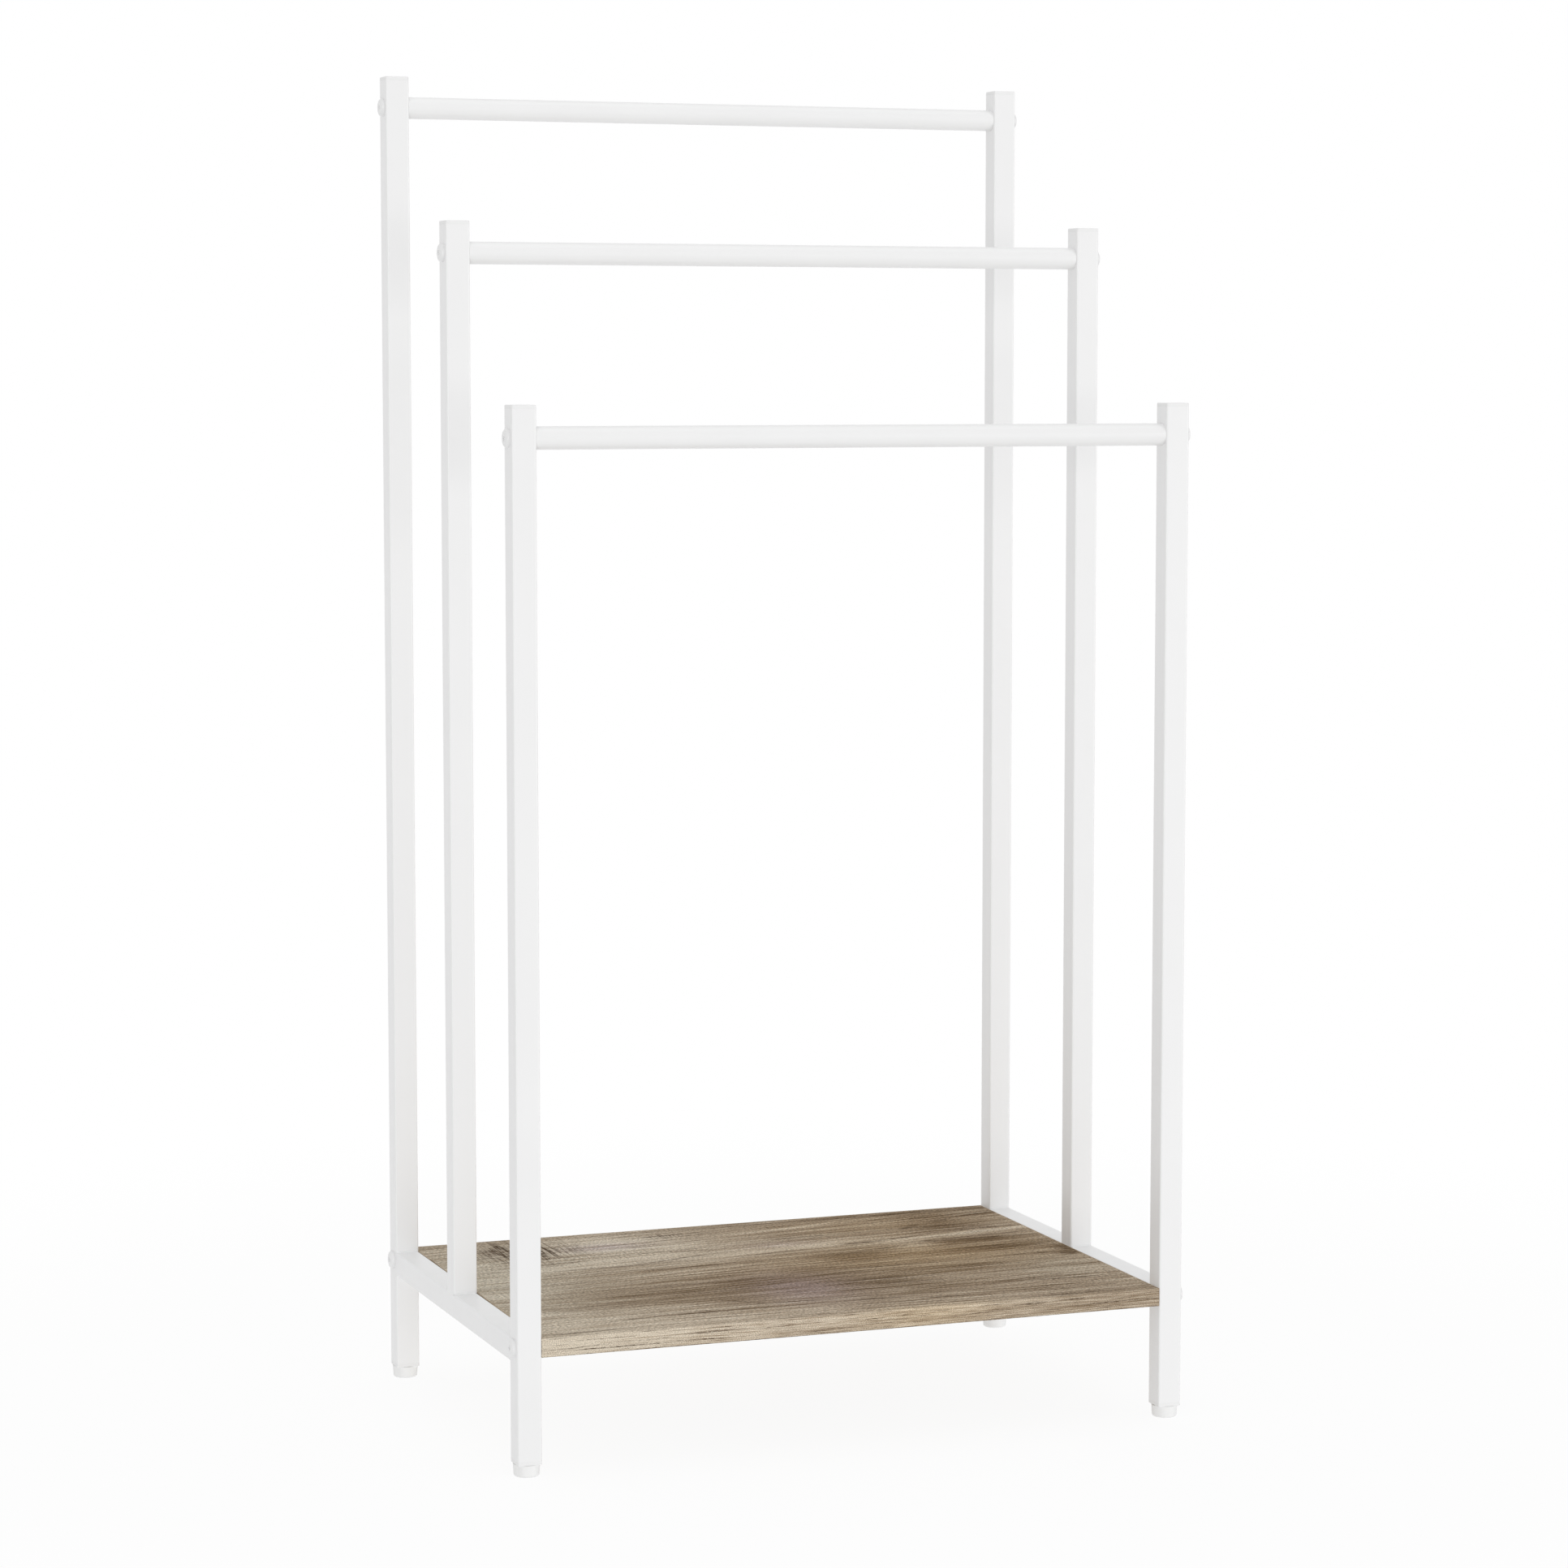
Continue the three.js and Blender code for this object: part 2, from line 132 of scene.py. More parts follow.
def box(low, high):
    """A box between two corners."""
    shape = bmesh.new()
    place = Matrix.Translation((low + high) / 2) @ Matrix.Diagonal((*(high - low), 1))
    bmesh.ops.create_cube(shape, size=1, matrix=place)
    return shape


def rounded(shape, edges, radius, steps=CORNER_STEPS):
    """Rounds some edges of a shape."""
    bmesh.ops.bevel(shape, geom=edges, offset=radius, segments=steps, affect="EDGES",
                    profile=0.5, material=-1, clamp_overlap=True)


def edges_along(shape, axis):
    """The edges of a shape that run along an axis."""
    return [e for e in shape.edges if abs((e.verts[1].co - e.verts[0].co).normalized()[axis]) > STRAIGHT]


def ends_of(shape, axis):
    """The flat faces at the two ends of a shape, lowest first."""
    faces = [f for f in shape.faces if abs(f.normal[axis]) > STRAIGHT]
    return sorted(faces, key=lambda f: f.calc_center_median()[axis])


def square_bar(low, high, axis):
    """A square bar with its long corners rounded as the tube's are."""
    shape = box(low, high)
    rounded(shape, edges_along(shape, axis), TUBE_CORNER)
    shape.normal_update()
    return shape


def square_tube(low, high, axis):
    """A square bar, hollowed from end to end."""
    shape = square_bar(low, high, axis)
    ends = ends_of(shape, axis)
    bmesh.ops.inset_region(shape, faces=ends, thickness=TUBE_WALL, use_even_offset=True)
    rims = [e for f in ends for e in f.edges]
    bmesh.ops.delete(shape, geom=ends, context="FACES_ONLY")
    bmesh.ops.bridge_loops(shape, edges=rims)
    return shape


def piece(name, shape, finish, slot, body, *stands_for):
    """Makes a piece of the rack from a shape: curves smooth, corners crisp, on its own body."""
    bmesh.ops.recalc_face_normals(shape, faces=shape.faces)
    mesh = bpy.data.meshes.new(name)
    shape.to_mesh(mesh)
    shape.free()
    mesh.materials.append(finish)
    mesh.polygons.foreach_set("use_smooth", [True] * len(mesh.polygons))
    mesh.set_sharp_from_angle(angle=CREASE)
    made = bpy.data.objects.new(name, mesh)
    bpy.context.scene.collection.objects.link(made)
    made.modifiers.new("even_shading", "WEIGHTED_NORMAL").keep_sharp = True
    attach(made, body)
    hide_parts(*stands_for)


coating = skin("powder_coat", COAT_WHITE, COAT_ROUGHNESS, COAT_PEEL, COAT_PEEL_HEIGHT)
for side in SIDES:
    rail = f"{side}_side_rail"
    piece(f"{rail}_tube", square_tube(*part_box(rail), Y), coating, "frame_coating", "rack", rail)

# Posts. The same tube stood upright, drilled through for a bolt at its towel bar, and in the
# front and back posts for one more at the shelf. The middle posts stand on the side rails.
ROWS = ("front", "middle", "back")
FOOT_ROWS = ("front", "back")
POSTS = [(side, row) for side in SIDES for row in ROWS]
FEET = [(side, row) for side in SIDES for row in FOOT_ROWS]
BOLT_HOLE = 6.6 * MM
OVERRUN = 1 * MM
HOLE_SIDES = 48


def rod(diameter, start, stop, axis, sides):
    """A round rod between two points on a line along an axis."""
    shape = bmesh.new()
    bmesh.ops.create_cone(shape, cap_ends=True, segments=sides, radius1=diameter / 2,
                          radius2=diameter / 2, depth=(stop - start).length)
    turn = Vector((0, 0, 1)).rotation_difference(Vector([i == axis for i in range(3)]))
    place = Matrix.Translation((start + stop) / 2) @ turn.to_matrix().to_4x4()
    bmesh.ops.transform(shape, matrix=place, verts=shape.verts)
    return shape


def worked(shape, tool, operation="DIFFERENCE"):
    """Cuts a tool's shape out of a shape, or joins it on, and gives back the result."""
    blanks = []
    for each in (shape, tool):
        bmesh.ops.recalc_face_normals(each, faces=each.faces)
        mesh = bpy.data.meshes.new("blank")
        each.to_mesh(mesh)
        each.free()
        blanks.append(bpy.data.objects.new("blank", mesh))
        bpy.context.scene.collection.objects.link(blanks[-1])
    cut = blanks[0].modifiers.new("cut", "BOOLEAN")
    cut.operation = operation
    cut.object = blanks[1]
    result = bmesh.new()
    result.from_object(blanks[0], bpy.context.evaluated_depsgraph_get())
    for blank in blanks:
        bpy.data.meshes.remove(blank.data)
    return result


def bored(shape, diameter, start_x, stop_x, centre):
    """Bores a shape along X from one place to another, about a centre."""
    start, stop = (Vector((x, centre.y, centre.z)) for x in (start_x, stop_x))
    return worked(shape, rod(diameter, start, stop, X, HOLE_SIDES))


def middle_of(node):
    """The middle of one of the frame's nodes."""
    low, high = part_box(node)
    return (low + high) / 2


for side, row in POSTS:
    post = f"{side}_{row}_post"
    low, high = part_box(post)
    tube = square_tube(low, high, Z)
    bolts = [f"{side}_{row}_bar_bolt"]
    if row in FOOT_ROWS:
        bolts.append(f"{side}_{row}_board_bolt")
    for bolt in bolts:
        tube = bored(tube, BOLT_HOLE, low.x - OVERRUN, high.x + OVERRUN, middle_of(bolt))
    piece(f"{post}_tube", tube, coating, "frame_coating", "rack", post)

# Welds. A small bead runs along each inside corner between tubes, and where two tubes lie
# flush the groove between their round corners is filled and ground, then coated over.
BEAD_RADIUS = 1.1 * MM
BEAD_SIDES = 20
BEAD_RIPPLES = 12
BEAD_RIPPLE = 0.07
BEAD_STEPS = 6
BEAD_BLUNTNESS = 8
BEAD_TIP = 0.1
JOIN_REACH = 0.001 * MM


def turned(profile, steps):
    """An outline of radius and height, turned round the Z axis into a solid."""
    shape = bmesh.new()
    verts = [shape.verts.new((radius, 0, height)) for radius, height in profile]
    edges = [shape.edges.new(pair) for pair in zip(verts, verts[1:])]
    if profile[0][0] > 0:
        edges.append(shape.edges.new((verts[-1], verts[0])))
    bmesh.ops.spin(shape, geom=verts + edges, axis=(0, 0, 1), cent=(0, 0, 0), use_merge=True,
                   angle=2 * math.pi, steps=steps)
    bmesh.ops.remove_doubles(shape, verts=shape.verts, dist=JOIN_REACH)
    return shape


def laid_along_x(shape, centre):
    """Lays an upright shape down along X, about a centre."""
    place = Matrix.Translation(centre) @ Matrix.Rotation(math.pi / 2, 4, "Y")
    bmesh.ops.transform(shape, matrix=place, verts=shape.verts)


def put_in(shape, other):
    """Puts another shape in beside the first."""
    mesh = bpy.data.meshes.new("blank")
    other.to_mesh(mesh)
    other.free()
    shape.from_mesh(mesh)
    bpy.data.meshes.remove(mesh)


def weld_bead(centre, length):
    """A bead along X, round in section and tapered at its ends, with the ripples of the weld."""
    outline = [(0, -length / 2)]
    steps = BEAD_RIPPLES * BEAD_STEPS
    for i in range(steps + 1):
        share = i / steps
        taper = math.sqrt(max(1 - (2 * share - 1) ** BEAD_BLUNTNESS, BEAD_TIP))
        girth = taper * (1 + BEAD_RIPPLE * math.sin(2 * math.pi * BEAD_RIPPLES * share))
        outline.append((BEAD_RADIUS * girth, length * (share - 0.5)))
    outline.append((0, length / 2))
    bead = turned(outline, BEAD_SIDES)
    laid_along_x(bead, centre)
    return bead


for side in SIDES:
    rail_low, rail_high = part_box(f"{side}_side_rail")
    foot_low, foot_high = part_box(f"{side}_middle_post")
    centre_x = (rail_low.x + rail_high.x) / 2
    bead_length = rail_high.x - rail_low.x - 2 * TUBE_CORNER
    welds = bmesh.new()

    # Beads along the inside corners.
    for y in (rail_low.y, rail_high.y):
        for z in (rail_low.z, rail_high.z):
            put_in(welds, weld_bead(Vector((centre_x, y, z)), bead_length))
    for y in (foot_low.y, foot_high.y):
        put_in(welds, weld_bead(Vector((centre_x, y, rail_high.z)), bead_length))

    # Filled grooves between the round corners of tubes that lie flush.
    for x, inward in ((rail_low.x, 1), (rail_high.x, -1)):
        near, far = sorted((x, x + inward * TUBE_CORNER))
        for y, outward in ((rail_low.y, -1), (rail_high.y, 1)):
            front, back = sorted((y, y + outward * TUBE_CORNER))
            put_in(welds, box(Vector((near, front, rail_low.z + TUBE_CORNER)),
                              Vector((far, back, rail_high.z - TUBE_CORNER))))
        put_in(welds, box(Vector((near, foot_low.y + TUBE_CORNER, rail_high.z - TUBE_CORNER)),
                          Vector((far, foot_high.y - TUBE_CORNER, rail_high.z))))
    piece(f"{side}_frame_welds", welds, coating, "frame_coating", "rack")

# Post caps. White moulded plastic plugs, one pressed into the top of each post: a flange as
# wide as the tube, its upper edges rounded, over a hollow skirt whose ribs grip the bore.
CAP_EDGE = 0.8 * MM
CAP_EDGE_STEPS = 5
EASED_EDGE = 0.08 * MM
EASED_EDGE_STEPS = 2
SKIRT_SIDE = 15.4 * MM
SKIRT_WALL = 1.5 * MM
SKIRT_RIBS = 2
RIB_DEPTH = 0.8 * MM
RIB_HEIGHT = 1.2 * MM
FLANGE_THICKNESS = 3 * MM
LEVEL_REACH = 0.01 * MM
PLASTIC_WHITE = (0.825, 0.825, 0.823)
PLASTIC_ROUGHNESS = 0.42
PLASTIC_GRAIN = 0.7 * MM
PLASTIC_GRAIN_HEIGHT = 0.012 * MM


def drawn(shape, face, distance, half):
    """Draws a square face out along its normal, gives it a new half side, and gives it back."""
    way = face.normal.copy()
    face = bmesh.ops.extrude_discrete_faces(shape, faces=[face])["faces"][0]
    centre = face.calc_center_median()
    size = half / max((v.co - centre).x for v in face.verts)
    bmesh.ops.scale(shape, vec=(size, size, 1), space=Matrix.Translation(-centre), verts=face.verts)
    bmesh.ops.translate(shape, vec=way * distance, verts=face.verts)
    face.normal_update()
    return face


def ribbed_skirt(shape, face, length):
    """Draws a hollow skirt with ribs around it out of a flange's inner face."""
    plain, ribbed = SKIRT_SIDE / 2, SKIRT_SIDE / 2 + RIB_DEPTH
    between = length / (SKIRT_RIBS + 1) - RIB_HEIGHT
    face = drawn(shape, face, 0, plain)
    face = drawn(shape, face, between + RIB_HEIGHT / 2, plain)
    for i in range(SKIRT_RIBS):
        for half in (ribbed, ribbed, plain):
            face = drawn(shape, face, RIB_HEIGHT / 3, half)
        face = drawn(shape, face, between + (RIB_HEIGHT / 2) * (i + 1 == SKIRT_RIBS), plain)
    face = drawn(shape, face, 0, plain - SKIRT_WALL)
    drawn(shape, face, -length, plain - SKIRT_WALL)


def rim_edges(shape, axis, level):
    """The edges around a shape that lie at one level along an axis."""
    return [e for e in shape.edges if all(abs(v.co[axis] - level) < LEVEL_REACH for v in e.verts)]


def moved_copy(shape, shift):
    """A copy of a shape, moved."""
    copy = shape.copy()
    bmesh.ops.translate(copy, vec=shift, verts=copy.verts)
    return copy


plastic = skin("cap_plastic_white", PLASTIC_WHITE, PLASTIC_ROUGHNESS, PLASTIC_GRAIN,
               PLASTIC_GRAIN_HEIGHT)
low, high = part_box(f"{SIDES[0]}_{ROWS[0]}_post_cap")
cap_shape = square_bar(Vector((low.x, low.y, high.z - FLANGE_THICKNESS)), high, Z)
rounded(cap_shape, rim_edges(cap_shape, Z, high.z), CAP_EDGE, CAP_EDGE_STEPS)
lower_rim = rim_edges(cap_shape, Z, high.z - FLANGE_THICKNESS)
rounded(cap_shape, lower_rim, EASED_EDGE, EASED_EDGE_STEPS)
cap_shape.normal_update()
ribbed_skirt(cap_shape, ends_of(cap_shape, Z)[0], high.z - low.z - FLANGE_THICKNESS)
for side, row in POSTS:
    cap = f"{side}_{row}_post_cap"
    moulding = moved_copy(cap_shape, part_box(cap)[0] - low)
    piece(f"{cap}_moulding", moulding, plastic, "cap_plastic", "rack", cap)

# Foot inserts. The same moulding turned over and pressed into the bottom of each front and
# back post, with a threaded boss inside, tied to the skirt by four webs, for the foot's stud.
BOSS_DIAMETER = 10 * MM
STUD_BORE = 6.6 * MM
WEB_THICKNESS = 1.4 * MM
OVERLAP = 0.2 * MM


def floor_below(node):
    """The place on the floor right below the middle of a node."""
    return Vector((*middle_of(node).xy, 0))


low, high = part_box(f"{SIDES[0]}_{FOOT_ROWS[0]}_foot_insert")
flange_top = low.z + FLANGE_THICKNESS
insert_shape = square_bar(low, Vector((high.x, high.y, flange_top)), Z)
for level in (low.z, flange_top):
    rounded(insert_shape, rim_edges(insert_shape, Z, level), EASED_EDGE, EASED_EDGE_STEPS)
insert_shape.normal_update()
ribbed_skirt(insert_shape, ends_of(insert_shape, Z)[1], high.z - flange_top)
middle = floor_below(f"{SIDES[0]}_{FOOT_ROWS[0]}_foot_insert")
root, tip = Vector((0, 0, flange_top - OVERLAP)), Vector((0, 0, high.z))
boss = rod(BOSS_DIAMETER, middle + root, middle + tip, Z, HOLE_SIDES)
reach = SKIRT_SIDE / 2 - SKIRT_WALL + OVERLAP
for half in ((reach, WEB_THICKNESS / 2, 0), (WEB_THICKNESS / 2, reach, 0)):
    web_top = middle + Vector(half) + tip - Vector((0, 0, OVERRUN))
    boss = worked(boss, box(middle - Vector(half) + root, web_top), "UNION")
insert_shape = worked(insert_shape, boss, "UNION")
past_end = Vector((0, 0, OVERRUN))
bore_start = middle + Vector((0, 0, low.z)) - past_end
bore_stop = middle + tip + past_end
insert_shape = worked(insert_shape, rod(STUD_BORE, bore_start, bore_stop, Z, HOLE_SIDES))
for side, row in FEET:
    insert = f"{side}_{row}_foot_insert"
    moulding = moved_copy(insert_shape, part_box(insert)[0] - low)
    piece(f"{insert}_moulding", moulding, plastic, "cap_plastic", "rack", insert)

# Levelling studs. M6 screws of zinc-plated steel. Each is moulded into its pad and turns in
# the foot insert's boss, so that the foot goes down 1 mm for each turn.
THREAD_PITCH = 1 * MM
THREAD_DEPTH = 0.55 * MM
THREAD_SIDES = 24
# The ridge's corners, each with its height from the root and its share of the pitch.
THREAD_RIDGE = ((0, 0), (0, 0.2), (THREAD_DEPTH, 0.5), (THREAD_DEPTH, 0.7), (0, 1))
THREAD_JOIN = THREAD_PITCH / 200
THREAD_CUT = THREAD_PITCH / 1000
ZINC = (0.62, 0.635, 0.65)
ZINC_ROUGHNESS = 0.3
ZINC_GRAIN = 0.5 * MM
ZINC_GRAIN_HEIGHT = 0.01 * MM


def thread(diameter, low, high):
    """A threaded rod along Z: one turn of a ridge in a helix, repeated, and cut square at its ends."""
    shape = bmesh.new()
    root = diameter / 2 - THREAD_DEPTH
    ridge = [shape.verts.new((root + rise, 0, low + (share - 1) * THREAD_PITCH))
             for rise, share in THREAD_RIDGE]
    line = [shape.edges.new(pair) for pair in zip(ridge, ridge[1:])]
    bmesh.ops.spin(shape, geom=ridge + line, axis=(0, 0, 1), cent=(0, 0, 0), use_merge=False,
                   angle=2 * math.pi, steps=THREAD_SIDES, dvec=(0, 0, THREAD_PITCH / THREAD_SIDES))
    turn = shape.verts[:] + shape.edges[:] + shape.faces[:]
    for i in range(math.ceil((high - low) / THREAD_PITCH)):
        new_turn = bmesh.ops.duplicate(shape, geom=turn)["geom"]
        moved = [v for v in new_turn if isinstance(v, bmesh.types.BMVert)]
        bmesh.ops.translate(shape, vec=(0, 0, (i + 1) * THREAD_PITCH), verts=moved)
    bmesh.ops.remove_doubles(shape, verts=shape.verts, dist=THREAD_JOIN)
    for level, way in ((low, -1), (high, 1)):
        geometry = shape.verts[:] + shape.edges[:] + shape.faces[:]
        cut = bmesh.ops.bisect_plane(shape, geom=geometry, dist=THREAD_CUT, clear_outer=True,
                                     plane_co=(0, 0, level), plane_no=(0, 0, way))
        rim = [e for e in cut["geom_cut"] if isinstance(e, bmesh.types.BMEdge)]
        bmesh.ops.edgenet_fill(shape, edges=rim)
    return shape


zinc = skin("zinc_plate", ZINC, ZINC_ROUGHNESS, ZINC_GRAIN, ZINC_GRAIN_HEIGHT, metallic=1.0)
low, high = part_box(f"{SIDES[0]}_{FOOT_ROWS[0]}_foot_stud")
stud_shape = thread(high.x - low.x, low.z, high.z)
for side, row in FEET:
    stud = f"{side}_{row}_foot_stud"
    screw = moved_copy(stud_shape, floor_below(stud))
    piece(f"{stud}_screw", screw, zinc, "zinc", f"{side}_{row}_stud", stud)

# Foot pads. White moulded plastic discs under the studs, drawn in a little towards the
# floor so that they leave their mould, with a rounded lower edge. Each turns with its stud.
PAD_BOTTOM_DIAMETER = 20.2 * MM
PAD_EDGE = 1.8 * MM
PAD_EDGE_STEPS = 8
PAD_TOP_EDGE = 0.15 * MM
PAD_TOP_EDGE_STEPS = 3
PAD_RISE = 0.2 * MM
PAD_FLOOR = 3 * MM
PAD_SIDES = 96
PAD_WHITE = (0.85, 0.85, 0.845)
PAD_ROUGHNESS = 0.5


def ring_edges(shape, radius, height):
    """The edges of the ring at one radius and height of a turned shape."""
    return [e for e in rim_edges(shape, Z, height)
            if all(abs(v.co.xy.length - radius) < LEVEL_REACH for v in e.verts)]


pad_plastic = skin("foot_plastic_white", PAD_WHITE, PAD_ROUGHNESS, PLASTIC_GRAIN,
                   PLASTIC_GRAIN_HEIGHT)
for side, row in FEET:
    pad = f"{side}_{row}_foot_pad"
    low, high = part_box(pad)
    bottom, top, bore = PAD_BOTTOM_DIAMETER / 2, (high.y - low.y) / 2, STUD_BORE / 2
    seat_z = high.z + PAD_RISE
    outline = [(0, 0), (bottom, 0), (top, seat_z), (bore, seat_z), (bore, PAD_FLOOR), (0, PAD_FLOOR)]
    disc = turned(outline, PAD_SIDES)
    rounded(disc, ring_edges(disc, bottom, 0), PAD_EDGE, PAD_EDGE_STEPS)
    rounded(disc, ring_edges(disc, top, seat_z), PAD_TOP_EDGE, PAD_TOP_EDGE_STEPS)
    bmesh.ops.translate(disc, vec=floor_below(pad), verts=disc.verts)
    piece(f"{pad}_disc", disc, pad_plastic, "foot_plastic", f"{side}_{row}_pad", pad)

# Towel bars. Round steel tube, 18 mm across with a 1 mm wall, coated like the frame. Each is
# held between its two posts by the bolts in its ends.
BAR_WALL = 1 * MM
BAR_SIDES = 128
BAR_END_EDGE = 0.1 * MM
BAR_END_EDGE_STEPS = 3

for row in ROWS:
    bar = f"{row}_towel_bar"
    low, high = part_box(bar)
    outer, reach = (high.z - low.z) / 2, (high.x - low.x) / 2
    inner = outer - BAR_WALL
    tube = turned([(inner, -reach), (outer, -reach), (outer, reach), (inner, reach)], BAR_SIDES)
    for end in (-reach, reach):
        rounded(tube, ring_edges(tube, outer, end), BAR_END_EDGE, BAR_END_EDGE_STEPS)
    laid_along_x(tube, (low + high) / 2)
    piece(f"{bar}_tube", tube, coating, "frame_coating", "rack", bar)

# Bar plugs and shelf inserts. Threaded sleeves of zinc-plated steel, driven into the ends of
# the towel bars and of the shelf, where the bolts screw into them. They sit out of sight, so
# they keep the shapes of their solids.
for side, row in POSTS:
    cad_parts[f"{side}_{row}_bar_plug"].material_slots[0].material = zinc
for side, row in FEET:
    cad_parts[f"{side}_{row}_board_insert"].material_slots[0].material = zinc

# Bolts. M6 steel bolts with a low button head and a hexagon socket, painted white. Six hold
# the towel bars between the posts, and four hold the shelf between the front and back posts.
HEAD_DIAMETER = 15 * MM
HEAD_TOP_DIAMETER = 9 * MM
HEAD_RIM = 0.8 * MM
HEAD_SIDES = 96
HEAD_STEPS = 16
SOCKET_SIDES = 6
SOCKET_ACROSS = 4 * MM
SOCKET_DEPTH = 0.9 * MM
SHANK_DIAMETER = 6 * MM
BOLT_WHITE = (0.83, 0.83, 0.83)
BOLT_ROUGHNESS = 0.36


def button_head(height):
    """A button head upright on z = 0: a low rim, a rounded shoulder and a flat with a socket."""
    outer, top = HEAD_DIAMETER / 2, HEAD_TOP_DIAMETER / 2
    shoulder = []
    for i in range(HEAD_STEPS + 1):
        angle = i / HEAD_STEPS * math.pi / 2
        shoulder.append((top + (outer - top) * math.cos(angle),
                         HEAD_RIM + (height - HEAD_RIM) * math.sin(angle)))
    head = turned([(0, 0), (outer, 0)] + shoulder + [(0, height)], HEAD_SIDES)
    socket = bmesh.new()
    radius = SOCKET_ACROSS / 2 / math.cos(math.pi / SOCKET_SIDES)
    bmesh.ops.create_cone(socket, cap_ends=True, segments=SOCKET_SIDES, radius1=radius,
                          radius2=radius, depth=SOCKET_DEPTH + OVERRUN)
    lift = height - SOCKET_DEPTH + (SOCKET_DEPTH + OVERRUN) / 2
    bmesh.ops.translate(socket, vec=(0, 0, lift), verts=socket.verts)
    return worked(head, socket)


bolt_paint = skin("bolt_paint", BOLT_WHITE, BOLT_ROUGHNESS, COAT_PEEL, COAT_PEEL_HEIGHT)
low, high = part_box(f"{SIDES[0]}_{ROWS[0]}_bar_bolt")
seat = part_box(f"{SIDES[0]}_{ROWS[0]}_post")[0].x
shank = thread(SHANK_DIAMETER, seat - high.x, OVERLAP)
bolt_shape = worked(shank, button_head(seat - low.x), "UNION")
bolts = [f"{side}_{row}_bar_bolt" for side, row in POSTS]
bolts += [f"{side}_{row}_board_bolt" for side, row in FEET]
for bolt in bolts:
    on_left = bolt.startswith(SIDES[0])
    seat_x = seat if on_left else -seat
    turn = Matrix.Rotation(-math.pi / 2 if on_left else math.pi / 2, 4, "Y")
    place = Matrix.Translation((seat_x, *middle_of(bolt).yz)) @ turn
    screw = bolt_shape.copy()
    bmesh.ops.transform(screw, matrix=place, verts=screw.verts)
    piece(f"{bolt}_screw", screw, bolt_paint, "bolt_coating", "rack", bolt)

# Shelf board. A 15 mm chipboard panel, faced on both sides with paper printed as weathered
# greige wood and pressed with a fine grain. Its ends are bored for the threaded inserts.
BOARD_EDGE = 0.1 * MM
BOARD_EDGE_STEPS = 1
INSERT_BORE = 10.6 * MM
INSERT_BORE_DEPTH = 16.3 * MM
BOARD_LOW, BOARD_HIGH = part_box("shelf_board")
BOARD_MIDDLE = (BOARD_LOW + BOARD_HIGH) / 2
WOOD_ROUGHNESS = (0.70, 0.82)
WOOD_SPECULAR = 0.03
WOOD_GRAIN_HEIGHT = 0.07 * MM
HAIR_RELIEF = -0.7
FLECK_RELIEF = 0.4
# Layers of grain: length and width in mm, lowest and highest value, the place in the noise,
# its detail, and its levels that give the two values. Those of sway and shiver are in mm too.
SOFT = (0.25, 0.75)
FIRM = (0.34, 0.66)
SWAY = (300, 60, -5, 5, 1, 0, *SOFT)
SHIVER = (50, 9, -0.3, 0.3, 2, 1, *SOFT)
STREAKS = (220, 3.2, -0.18, 0.18, 5, 3, *FIRM)
TONE_LAYERS = (
    (240, 32, -0.05, 0.05, 3, 3, *FIRM),
    (150, 10, -0.06, 0.06, 4, 3, *FIRM),
    (200, 1.3, -0.25, 0.25, 6, 3, *FIRM),
    (45, 2.2, -0.14, 0.14, 8, 2, *FIRM),
)
HAIRS = (140, 2.2, 0.0, 0.9, 10, 3, 0.57, 0.66)
HATCHING = (2.2, 50, 0.0, 1.0, 11, 1, 0.46, 0.58)
BREAKS = (12, 3, 0.2, 1.3, 9, 3, *FIRM)
FLECK = (2.4, 1.3, 0.4, 1.6, 7, 1, *SOFT)
GRAIN_ROUGHNESS = 0.55
GRAIN_CLIMB = -0.11
BASE_TONE = 0.69
STREAK_RANGE = (-0.2, 0.2)
DARKEST = 0.9
# The print's inks, from its darkest to its palest tone.
WOOD_TONES = (
    (0.0, (0.055, 0.028, 0.010, 1)),
    (0.17, (0.118, 0.073, 0.036, 1)),
    (0.38, (0.203, 0.145, 0.087, 1)),
    (0.52, (0.277, 0.206, 0.138, 1)),
    (0.87, (0.484, 0.398, 0.299, 1)),
    (1.1, (0.650, 0.565, 0.450, 1)),
)
CRACK_INK = (0.045, 0.020, 0.005, 1)
VIOLET_TINT = (1.0, 0.99, 1.27, 1)
OLIVE_TINT = (1.06, 0.99, 0.85, 1)
GREY_TINT = (0.95, 1.0, 1.03, 1)
